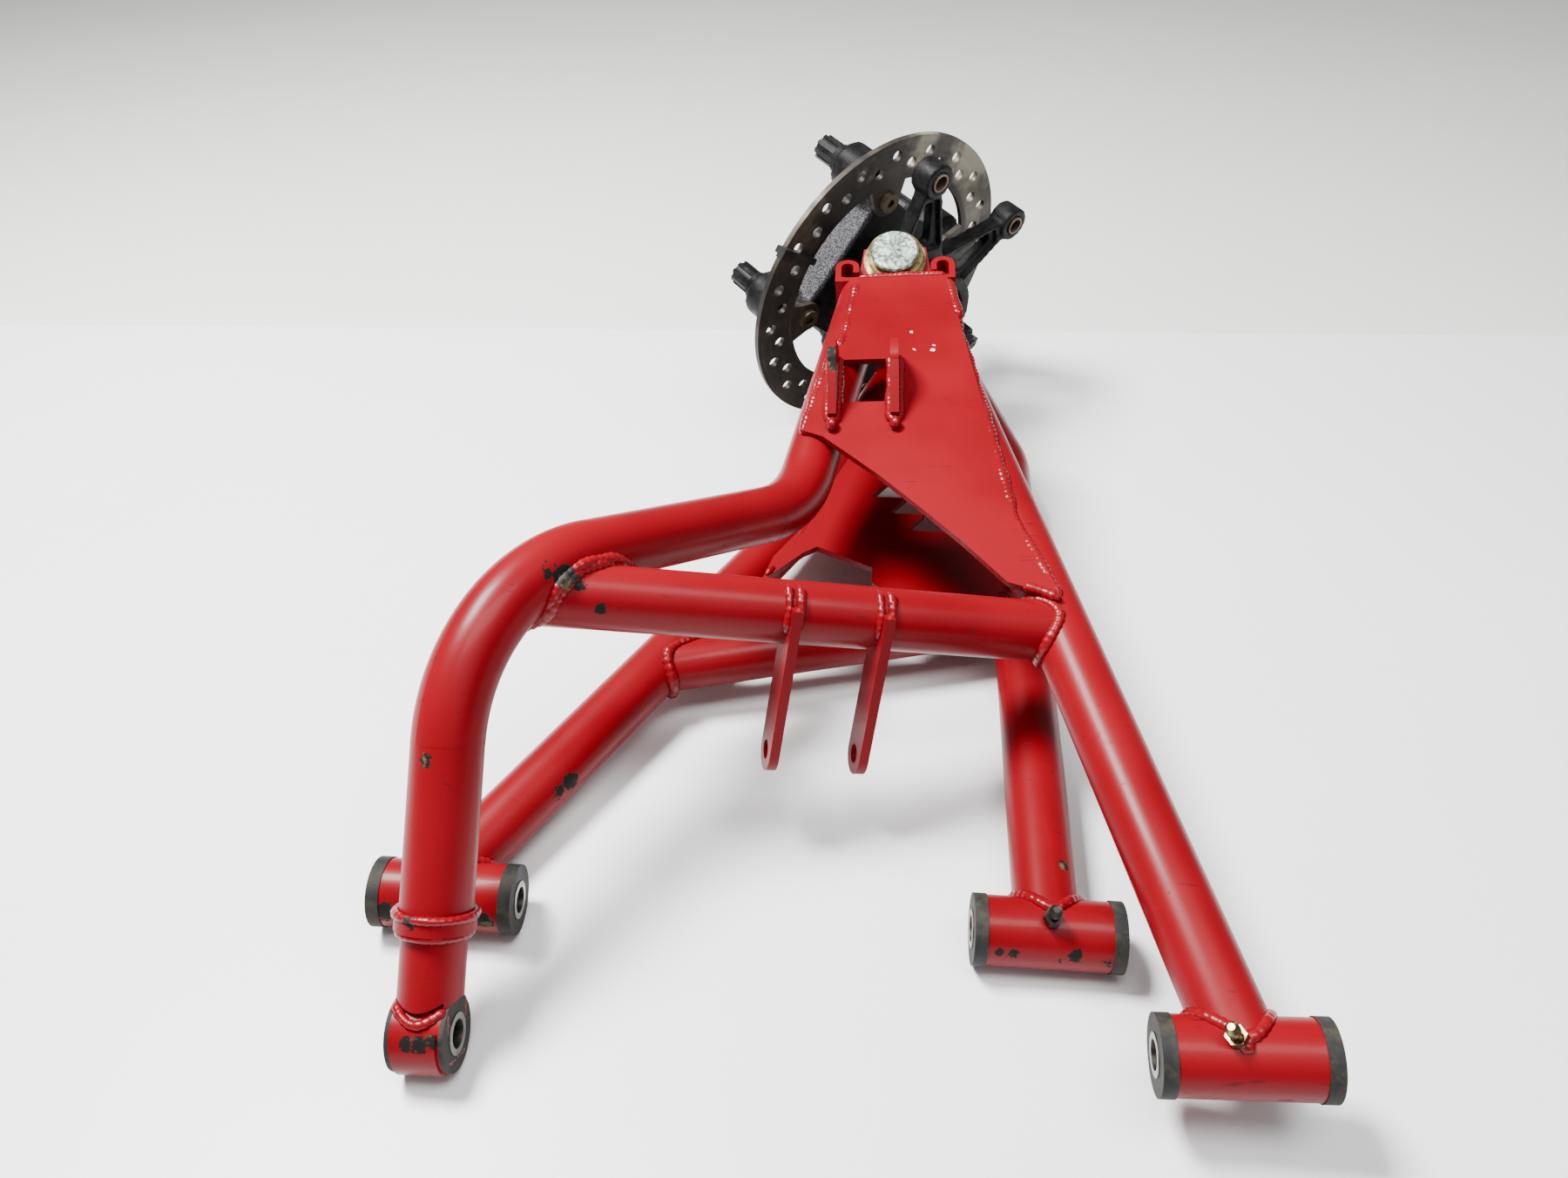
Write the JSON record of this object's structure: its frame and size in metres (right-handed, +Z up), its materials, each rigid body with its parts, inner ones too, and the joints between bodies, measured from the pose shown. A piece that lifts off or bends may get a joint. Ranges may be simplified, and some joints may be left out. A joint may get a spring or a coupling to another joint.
{
  "type": "front suspension corner",
  "caption": "Tubular upper and lower A-arms joined by ball joints to a steering knuckle that carries a wheel hub and a drilled brake disc.",
  "frame": {"origin": "centre of the bore of the lower arm's rear pivot", "axes": "+X along the lower pivot axis towards the rear, +Y outboard to the wheel, +Z up from the surface it lies on"},
  "size_m": [0.4255, 0.7146, 0.2297],
  "materials": {
    "red_paint": "glossy",
    "zinc": "satin",
    "steel": "satin",
    "casting": "satin",
    "black_metal": "satin",
    "bush": "matte",
    "rusty_steel": "rusty",
    "rubber": "matte",
    "nylon": "satin"
  },
  "bodies": {
    "lower_arm": {"lower_rear_barrel": "red_paint", "lower_front_barrel": "red_paint", "lower_rear_leg": "red_paint", "lower_front_leg": "red_paint", "lower_cross_tube": "red_paint", "lower_gusset": "red_paint", "lower_end_bracket": "red_paint", "lower_ball_housing": "red_paint", "lower_ball_cap": "zinc", "lower_bushes": "bush", "lower_grease_fitting": "steel"},
    "lower_rear_pivot_sleeve": {"lower_rear_sleeve": "steel"},
    "lower_front_pivot_sleeve": {"lower_front_sleeve": "steel"},
    "lower_seat": {"lower_ball_seat": "rubber", "lower_boot": "rubber"},
    "knuckle": {"knuckle": "casting", "caliper_inserts": "rusty_steel", "pinch_bolts": "steel", "pinch_nuts": "steel", "bearing_outer_race": "steel", "bearing_snap_ring": "steel", "bearing_seal": "rubber", "lower_ball_stud": "steel", "upper_ball_stud": "steel"},
    "hub": {"bearing_inner_race": "steel", "bearing_balls": "steel", "wheel_hub": "casting", "brake_disc": "rusty_steel", "disc_bolts": "rusty_steel", "wheel_studs": "steel", "lug_nuts": "black_metal", "cable_tie": "nylon"},
    "upper_seat": {"upper_ball_seat": "rubber", "upper_boot": "rubber"},
    "upper_arm": {"upper_rear_barrel": "red_paint", "upper_front_barrel": "red_paint", "upper_rear_leg": "red_paint", "upper_front_leg": "red_paint", "upper_front_spigot": "red_paint", "upper_weld_collar": "red_paint", "upper_cross_tube": "red_paint", "upper_gusset": "red_paint", "shock_tabs": "red_paint", "link_tabs": "red_paint", "upper_end_bracket": "red_paint", "upper_ball_plate": "red_paint", "upper_ball_housing": "red_paint", "upper_ball_cap": "zinc", "upper_snap_ring": "steel", "upper_rear_bushes": "bush", "upper_front_bushes": "bush", "upper_grease_fitting": "zinc"},
    "upper_rear_pivot_sleeve": {"upper_rear_sleeve": "steel"},
    "upper_front_pivot_sleeve": {"upper_front_sleeve": "steel"}
  },
  "joints": [
    {"name": "lower_ball_swing", "type": "hinge", "parent": "lower_arm", "child": "lower_seat", "pos_m": [-0.037, 0.53192, 0.03393], "axis": [1, 0, 0], "range_deg": [-30, 0]},
    {"name": "steer", "type": "hinge", "parent": "lower_seat", "child": "knuckle", "pos_m": [-0.037, 0.53192, 0.03393], "axis": [-0.2845, -0.6428, 0.7112], "range_deg": [-40, 0]},
    {"name": "upper_ball_turn", "type": "hinge", "parent": "knuckle", "child": "upper_seat", "pos_m": [-0.07968, 0.43546, 0.14065], "axis": [-0.2845, -0.6428, 0.7112], "range_deg": [0, 40]},
    {"name": "upper_ball_swing", "type": "hinge", "parent": "upper_seat", "child": "upper_arm", "pos_m": [-0.07968, 0.43546, 0.14065], "axis": [0.9974, 0, 0.0715], "range_deg": [-14, 0]},
    {"name": "hub_spin", "type": "hinge", "parent": "knuckle", "child": "hub", "pos_m": [-0.0908, 0.5169, 0.0969], "axis": [-0.6723, 0.711, 0.2062], "continuous": true},
    {"name": "lower_rear_sleeve_turn", "type": "hinge", "parent": "lower_arm", "child": "lower_rear_pivot_sleeve", "pos_m": [0, 0, 0], "axis": [1, 0, 0], "continuous": true},
    {"name": "lower_front_sleeve_turn", "type": "hinge", "parent": "lower_arm", "child": "lower_front_pivot_sleeve", "pos_m": [-0.286, 0, 0], "axis": [1, 0, 0], "continuous": true},
    {"name": "upper_rear_sleeve_turn", "type": "hinge", "parent": "upper_arm", "child": "upper_rear_pivot_sleeve", "pos_m": [0.06851, -0.072, 0.02442], "axis": [0.9974, 0, 0.0715], "continuous": true},
    {"name": "upper_front_sleeve_turn", "type": "hinge", "parent": "upper_arm", "child": "upper_front_pivot_sleeve", "pos_m": [-0.27312, -0.072, -0.00007], "axis": [0.9974, 0, 0.0715], "continuous": true}
  ],
  "couplings": [
    {"joint": "upper_ball_turn", "follows": "steer", "ratio": -1}
  ]
}
